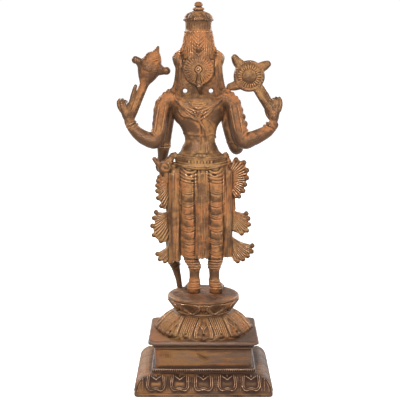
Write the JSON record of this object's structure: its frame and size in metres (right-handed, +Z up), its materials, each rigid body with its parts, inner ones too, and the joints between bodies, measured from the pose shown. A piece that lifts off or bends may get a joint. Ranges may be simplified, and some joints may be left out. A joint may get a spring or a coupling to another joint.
{
  "type": "vishnu figure",
  "caption": "Standing four-armed bronze figure on a round double lotus and a moulded rectangular plinth, for display on a shelf.",
  "frame": {"origin": "middle of the plinth's flat underside", "axes": "+Z up along the figure, the figure faces -Y, and its left hand side is +X"},
  "size_m": [0.1276, 0.0914, 0.3],
  "materials": {
    "figure_bronze": "cast bronze with orange-brown earthy patina, worn dark on the high places",
    "plinth_bronze": "cast bronze with dark brown patina and orange earth in the mouldings"
  },
  "bodies": {
    "root": {"figure": "figure_bronze", "plinth": "plinth_bronze"}
  },
  "joints": []
}
